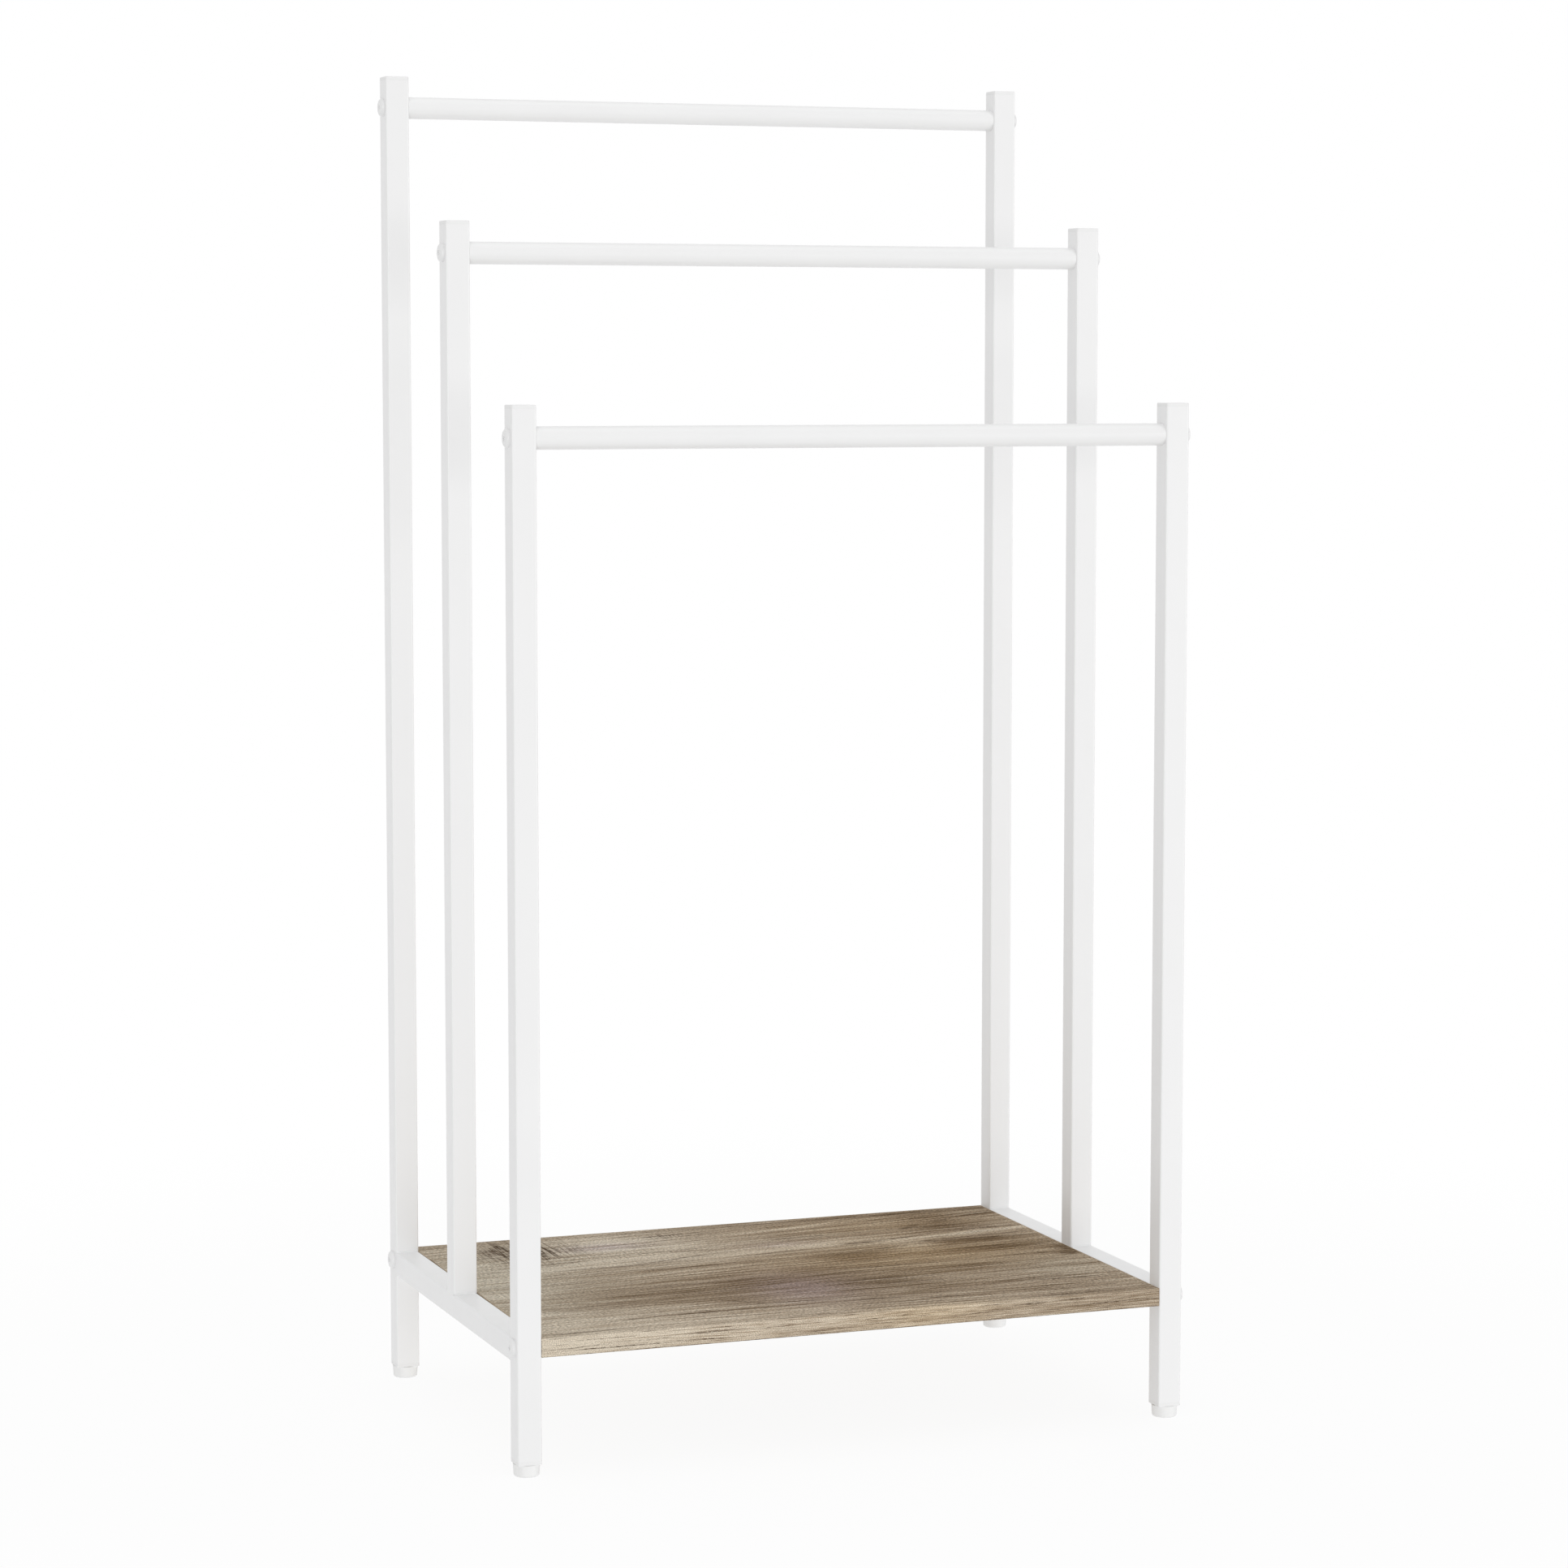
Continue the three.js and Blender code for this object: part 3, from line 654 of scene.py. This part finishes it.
# The print's own marks, in mm from the board's middle: place along and across, half length,
# half width, tilt in degrees and strength. Patches are broad, and cracks are fine dark lines.
PATCHES = (
    (-255, 20, 85, 170, 0, 0.30),
    (-105, 120, 75, 62, 0, 0.27),
    (-110, 165, 60, 25, 0, 0.11),
    (-110, 68, 100, 14, 3, 0.21),
    (-95, 130, 32, 9, 0, -0.15),
    (45, 70, 85, 14, 5, 0.27),
    (215, 79, 75, 8, 6, 0.38),
    (143, 50, 20, 18, 10, 0.29),
    (195, 112, 44, 34, 0, -0.24),
    (195, 155, 75, 12, 0, -0.21),
    (185, 176, 80, 14, 0, -0.21),
    (205, 45, 50, 11, 2, -0.46),
    (200, 12, 48, 14, 0, -0.36),
    (78, 26, 38, 17, 0, -0.26),
    (75, -30, 125, 50, 0, -0.15),
    (-55, -42, 34, 13, 0, -0.18),
    (-20, -55, 70, 42, 0, -0.14),
    (64, -94, 46, 32, 0, -0.27),
    (-175, -42, 70, 40, 0, -0.11),
    (-40, 105, 45, 18, 0, 0.14),
    (-180, 52, 30, 8, 0, 0.14),
    (155, -60, 30, 19, 0, -0.17),
    (-115, -80, 85, 38, 0, -0.11),
    (-75, -115, 30, 15, 0, -0.17),
    (-195, -160, 120, 42, 0, 0.23),
    (-60, -172, 75, 18, 0, 0.14),
    (225, -90, 44, 24, 0, 0.09),
    (125, -116, 48, 12, 0, -0.20),
    (264, -12, 14, 30, 0, -0.17),
    (170, -148, 40, 14, 0, -0.08),
    (-235, -196, 75, 12, 0, 0.23),
    (30, -190, 120, 5, 0, 0.09),
    (215, -197, 70, 10, 0, -0.12),
    (-15, -118, 48, 14, 0, -0.10),
    (105, 52, 34, 8, 3, 0.10),
    (165, 84, 30, 11, 4, -0.13),
    (200, -120, 45, 12, 0, 0.07),
    (-20, -166, 60, 12, 0, -0.08),
)
CRACKS = (
    (-150, 48, 45, 1.6, 1, 0.6),
    (-73, 60, 40, 1.7, 16, 0.8),
    (18, 56, 45, 1.7, 7, 0.7),
    (102, 70, 17, 2.4, 4, 1.1),
    (143, 77, 22, 2.0, 12, 1.0),
    (208, 63, 60, 1.6, 5, 1.0),
    (205, 54, 55, 2.0, 0, 1.0),
    (60, 109, 36, 1.6, 4, 0.8),
    (172, 115, 45, 2.0, 3, 0.9),
    (75, 98, 75, 1.4, 1, 0.5),
    (222, 92, 45, 1.9, 4, 0.9),
    (125, 44, 30, 1.6, 10, 0.8),
    (165, 177, 60, 2.4, 0, 0.9),
    (10, 176, 85, 1.8, 0, 0.6),
    (-48, 89, 14, 1.9, -3, 0.8),
    (-164, 78, 17, 1.8, 2, 0.8),
    (-75, 27, 75, 1.6, -2, 0.6),
    (72, 31, 40, 1.8, 4, 0.6),
    (95, -28, 50, 1.7, 0, 0.6),
    (-100, -37, 50, 1.6, -1, 0.5),
    (62, -73, 40, 1.8, 0, 0.6),
    (85, -92, 40, 1.9, 0, 0.7),
    (225, -22, 40, 1.6, 0, 0.8),
    (-175, -146, 25, 1.5, 6, 0.8),
    (-122, -143, 26, 1.8, 1, 1.1),
    (32, -143, 21, 1.8, -4, 1.1),
    (90, -156, 22, 1.8, -3, 1.0),
    (210, -124, 35, 1.7, -6, 0.8),
    (-75, -114, 18, 1.7, -38, 0.6),
    (-35, -130, 24, 1.6, -8, 0.7),
    (-225, -177, 38, 1.6, 4, 0.8),
    (-190, -199, 45, 0.5, 0, 0.9),
    (-235, -197, 25, 0.4, 2, 0.8),
    (-120, -193, 25, 0.4, 0, 0.9),
    (110, -196, 30, 0.4, 2, 0.8),
    (150, -192, 16, 0.5, 2, 1.0),
    (190, -191, 14, 0.6, 0, 1.0),
    (225, -196, 34, 0.5, 1, 0.9),
    # The last is no crack but a thin dark line along the board's lower front edge, the length of the
    # board.
    (0, -203, 400, 0.6, 0, 0.9),
)
KNOTS = (
    (-200, 145, 15, 22, -15, 0.6),
    (204, 136, 11, 4, 15, 0.7),
    (172, 122, 9, 3, 30, 0.5),
    (-53, 155, 8, 5, 0, 0.35),
    (262, -12, 8, 8, 0, 0.8),
    (254, -30, 9, 6, 0, 0.7),
)
HATCHED = ((-182, 134, 40, 42, 0, 1.4), (-45, 158, 20, 9, 0, 0.6))
VIOLET_SPOTS = (
    (-8, -82, 44, 52, 0, 0.9),
    (-112, 128, 38, 14, 0, 0.5),
    (35, 88, 34, 12, 0, 0.3),
)
OLIVE_SPOTS = (
    (130, 5, 130, 55, 0, 1.0),
    (150, 135, 100, 45, 0, 0.6),
    (60, -192, 60, 14, 0, 0.6),
)
GREY_SPOTS = (
    (-250, 20, 95, 180, 0, 0.9),
    (-105, 120, 75, 60, 0, 0.35),
    (228, -75, 40, 40, 0, 0.6),
)
TINTS = ((VIOLET_TINT, VIOLET_SPOTS), (OLIVE_TINT, OLIVE_SPOTS), (GREY_TINT, GREY_SPOTS))


def sum_of(tree, values):
    """The sum of several values."""
    total = values[0]
    for value in values[1:]:
        total = add(tree, "Math", {0: total, 1: value}, operation="ADD").outputs[0]
    return total


def times(tree, first, second, more=0.0):
    """The product of two values, with one more added."""
    return add(tree, "Math", {0: first, 1: second, 2: more}, operation="MULTIPLY_ADD").outputs[0]


def marks(tree, sheet, spots, total=0.0):
    """Adds printed marks to a total: each is strongest at its middle and fades like a bell."""
    for along, across, half_length, half_width, tilt, strength in spots:
        middle = Vector((along, across)) * MM
        tilted = Matrix.Rotation(math.radians(tilt), 2)
        far = 0.0
        for way, half in zip(tilted.transposed(), (half_length * MM, half_width * MM)):
            line = (way / half).to_3d() + Vector((0, 0, -way.dot(middle) / half))
            reach = add(tree, "VectorMath", {0: sheet, 1: line}, operation="DOT_PRODUCT")
            far = times(tree, reach.outputs["Value"], reach.outputs["Value"], far)
        bell = add(tree, "Math", {0: 1 / math.e, 1: far}, operation="POWER").outputs[0]
        total = times(tree, bell, strength, total)
    return total


def grain(tree, sheet, layer, scale, unit=1.0):
    """One layer of the printed grain: noise drawn out along the sheet, carried to its values."""
    length, width, low, high, seed, detail, start, stop = layer
    drawn_out = (1 / (length * scale), 1 / (width * scale), 1)
    sockets = {"Vector": sheet, "Location": (0, 0, seed), "Scale": drawn_out}
    place = add(tree, "Mapping", sockets).outputs[0]
    fibres = noise(tree, place, 1.0, detail, GRAIN_ROUGHNESS)
    return spread(tree, fibres, low * unit, high * unit, start, stop)


def wood_print(name, turn=0.0, narrow=1.0, lift=0.0, marked=True):
    """The printed paper: its grain runs along X or, turned, along Y, and on over the edges."""
    finish, tree, shader, place = new_finish(name)
    turned_place = add(tree, "VectorRotate", {"Vector": place, "Center": BOARD_MIDDLE,
                                              "Angle": turn}, rotation_type="Z_AXIS").outputs[0]
    parts = add(tree, "SeparateXYZ", {0: turned_place}).outputs
    along, across = parts[X], sum_of(tree, [parts[Y], parts[Z], -BOARD_HIGH.z])
    flat = add(tree, "CombineXYZ", {0: along, 1: across, 2: 1.0}).outputs[0]
    wide = narrow * MM

    # The grain sways and shivers, and climbs towards the right, more so at the back.
    sway = grain(tree, flat, SWAY, MM, wide)
    shiver = grain(tree, flat, SHIVER, wide, wide)
    slope = spread(tree, across, 0.0, GRAIN_CLIMB, BOARD_LOW.y, BOARD_HIGH.y)
    climb = times(tree, along, slope)
    unsteady = sum_of(tree, [across, shiver])
    shaken = add(tree, "CombineXYZ", {0: along, 1: unsteady, 2: 1.0}).outputs[0]
    bent = sum_of(tree, [unsteady, sway, climb])
    sheet = add(tree, "CombineXYZ", {0: along, 1: bent}).outputs[0]

    # Bands, streaks and fine lines of grain make the tone, from the darkest ink to the palest.
    streaks = grain(tree, sheet, STREAKS, wide)
    layers = [grain(tree, sheet, layer, wide) for layer in TONE_LAYERS]
    tone = sum_of(tree, [BASE_TONE + lift, streaks, *layers])
    if marked:
        tone = marks(tree, shaken, PATCHES, tone)
    (lowest, darkest_ink), (highest, palest_ink) = WOOD_TONES[0], WOOD_TONES[-1]
    ramp = add(tree, "ValToRGB", {0: spread(tree, tone, 0.0, 1.0, lowest, highest)})
    stops = ramp.color_ramp.elements
    stops[0].color = darkest_ink
    stops[1].color = palest_ink
    for level, ink in WOOD_TONES[1:-1]:
        stops.new(level / highest).color = ink
    colour = ramp.outputs[0]

    # Dark hairlines run all over, and the long cracks, knots and hatching where they are, with a thin
    # dark line along the board's lower front edge.
    hairs = grain(tree, sheet, HAIRS, wide)
    dark = hairs
    if marked:
        dark = times(tree, marks(tree, shaken, HATCHED), grain(tree, flat, HATCHING, MM), dark)
        dark = marks(tree, shaken, CRACKS + KNOTS, dark)
        for tint, spots in TINTS:
            colour = mixed(tree, marks(tree, shaken, spots), colour, tint, "MULTIPLY")
    broken = times(tree, dark, grain(tree, flat, BREAKS, wide))
    darkness = add(tree, "Math", {0: broken, 1: DARKEST}, operation="MINIMUM")
    colour = mixed(tree, darkness.outputs[0], colour, CRACK_INK)

    # A fine fleck of light and dark, a little longer than wide, covers it all.
    fleck = grain(tree, sheet, FLECK, wide)
    colour = mixed(tree, 1.0, colour, fleck, "MULTIPLY")

    relief = times(tree, hairs, HAIR_RELIEF, times(tree, fleck, FLECK_RELIEF, streaks))
    bump = add(tree, "Bump", {"Height": relief, "Distance": WOOD_GRAIN_HEIGHT})
    set_inputs(tree, shader, {
        "Base Color": colour,
        "Roughness": spread(tree, streaks, *WOOD_ROUGHNESS, *STREAK_RANGE),
        "Specular IOR Level": WOOD_SPECULAR,
        "Normal": bump.outputs[0],
    })
    return finish


laminate = wood_print("greige_laminate")
panel = box(BOARD_LOW, BOARD_HIGH)
rounded(panel, panel.edges[:], BOARD_EDGE, BOARD_EDGE_STEPS)
for side, row in FEET:
    inward = 1 if side == "left" else -1
    mouth = BOARD_LOW.x if side == "left" else BOARD_HIGH.x
    ends = sorted((mouth - inward * OVERRUN, mouth + inward * INSERT_BORE_DEPTH))
    panel = bored(panel, INSERT_BORE, *ends, middle_of(f"{side}_{row}_board_insert"))
piece("shelf_panel", panel, laminate, "board_laminate", "rack", "shelf_board")

# Edge bands. Strips of the same print, 1 mm thick, glued round the panel's four edges and
# trimmed, with their outer corners eased. The end bands are bored through for the inserts.
BAND_EDGE = 0.4 * MM
BAND_EDGE_STEPS = 4
BAND_LIFT = 0.12
BAND_CLOSENESS = 0.35

long_print = wood_print("greige_long_band", 0.0, BAND_CLOSENESS, BAND_LIFT)
end_print = wood_print("greige_end_band", math.pi / 2, BAND_CLOSENESS, BAND_LIFT, marked=False)
for band in ("front", "back", "left", "right"):
    low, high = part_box(f"{band}_edge_band")
    strip = box(low, high)
    thin_axis = Y if band in ("front", "back") else X
    outward = -1 if band in ("front", "left") else 1
    level = (low if outward < 0 else high)[thin_axis]
    rounded(strip, rim_edges(strip, thin_axis, level), BAND_EDGE, BAND_EDGE_STEPS)
    paper = long_print
    if band in SIDES:
        paper = end_print
        for row in FOOT_ROWS:
            centre = middle_of(f"{band}_{row}_board_insert")
            strip = bored(strip, INSERT_BORE, low.x - OVERRUN, high.x + OVERRUN, centre)
    piece(f"{band}_band_strip", strip, paper, "edge_band", "rack", f"{band}_edge_band")

# The floor. A plain pale sweep, white all round, that keeps the rack's soft shadow. Towards
# the rack it shines as the room does. It is clear from below, so the underside can be seen.
FLOOR_LIGHT = 0.74
FLOOR_HALF = 30.0
FLOOR_WHITE = (0.93, 0.93, 0.93, 1)
SHADOW_SHARE = 0.08
SHADOW_FULL = 0.56
SHADOW_REACH = 1.4

sweep = bmesh.new()
bmesh.ops.create_grid(sweep, x_segments=1, y_segments=1, size=FLOOR_HALF)
floor_mesh = bpy.data.meshes.new("floor")
sweep.to_mesh(floor_mesh)
sweep.free()
floor = bpy.data.objects.new("floor", floor_mesh)
floor.visible_shadow = False
bpy.context.scene.collection.objects.link(floor)


def seen_as_white(tree):
    """1 for what the camera, a reflection or a clear part sees, and 0 for light on a surface."""
    rays = add(tree, "LightPath", {}).outputs
    seen = rays["Is Camera Ray"]
    for ray in ("Is Glossy Ray", "Is Transmission Ray"):
        seen = add(tree, "Math", {0: seen, 1: rays[ray]}, operation="MAXIMUM").outputs[0]
    return seen


paint, tree, shader, place = new_finish("floor_white")
distance = add(tree, "VectorMath", {0: place}, operation="LENGTH").outputs["Value"]
fading = {
    "Value": distance,
    "From Min": SHADOW_FULL,
    "From Max": SHADOW_REACH,
    "To Min": SHADOW_SHARE,
    "To Max": 0.0,
}
nearness = add(tree, "MapRange", fading, interpolation_type="SMOOTHSTEP").outputs[0]
matt = add(tree, "BsdfDiffuse", {"Color": FLOOR_WHITE}).outputs[0]
glow = spread(tree, seen_as_white(tree), FLOOR_LIGHT, 1.0)
white = add(tree, "Emission", {"Color": (1, 1, 1, 1), "Strength": glow}).outputs[0]
shaded = times(tree, nearness, add(tree, "LightPath", {}).outputs["Is Camera Ray"])
blend = add(tree, "MixShader", {0: shaded, 1: white, 2: matt}).outputs[0]
from_below = add(tree, "NewGeometry", {}).outputs["Backfacing"]
clear = add(tree, "BsdfTransparent", {}).outputs[0]
surface = add(tree, "MixShader", {0: from_below, 1: blend, 2: clear}).outputs[0]
tree.links.new(surface, tree.nodes["Material Output"].inputs["Surface"])
tree.nodes.remove(shader)
floor_mesh.materials.append(paint)

# The light. A plain white studio, the same all round, with two broad lamps level with the
# rack at its front, and still broader ones above it and below.
ROOM_LIGHT = 0.655
LAMPS = (
    ("left_lamp", Vector((-0.574, -0.819, 0.0)), math.radians(20), 0.62),
    ("right_lamp", Vector((0.707, -0.707, 0.0)), math.radians(20), 0.68),
    ("top_lamp", Vector((0.0, 0.0, 1.0)), math.radians(60), 0.54),
    ("low_lamp", Vector((0.0, 0.0, -1.0)), math.radians(60), 0.60),
)

world = bpy.data.worlds.new("studio")
bpy.context.scene.world = world
world.use_nodes = True
tree = world.node_tree
room = tree.nodes["Background"]
tree.links.new(spread(tree, seen_as_white(tree), ROOM_LIGHT, 1.0), room.inputs["Strength"])
room.inputs["Color"].default_value = (1, 1, 1, 1)
for name, stand, breadth, strength in LAMPS:
    sun = bpy.data.lights.new(name, "SUN")
    sun.energy = strength
    sun.angle = breadth
    lamp = bpy.data.objects.new(name, sun)
    lamp.location = stand
    lamp.rotation_mode = "QUATERNION"
    lamp.rotation_quaternion = stand.to_track_quat("Z", "Y")
    bpy.context.scene.collection.objects.link(lamp)

# The camera stands to the left of the rack's front and looks down at it a little.
CAMERA_STAND = (-1.2370, -3.3332, 0.8641)
CAMERA_YAW = math.radians(20.45)
CAMERA_PITCH = math.radians(5.54)
CAMERA_LENS = 98.34
CAMERA_SENSOR = 36
CAMERA_REACH = 100

lens = bpy.data.cameras.new("camera")
lens.lens = CAMERA_LENS
lens.sensor_width = CAMERA_SENSOR
lens.clip_end = CAMERA_REACH
camera = bpy.data.objects.new("camera", lens)
camera.location = CAMERA_STAND
camera.rotation_euler = (math.pi / 2 - CAMERA_PITCH, 0, -CAMERA_YAW)
bpy.context.scene.collection.objects.link(camera)
bpy.context.scene.camera = camera
bpy.context.scene.view_settings.view_transform = "Standard"
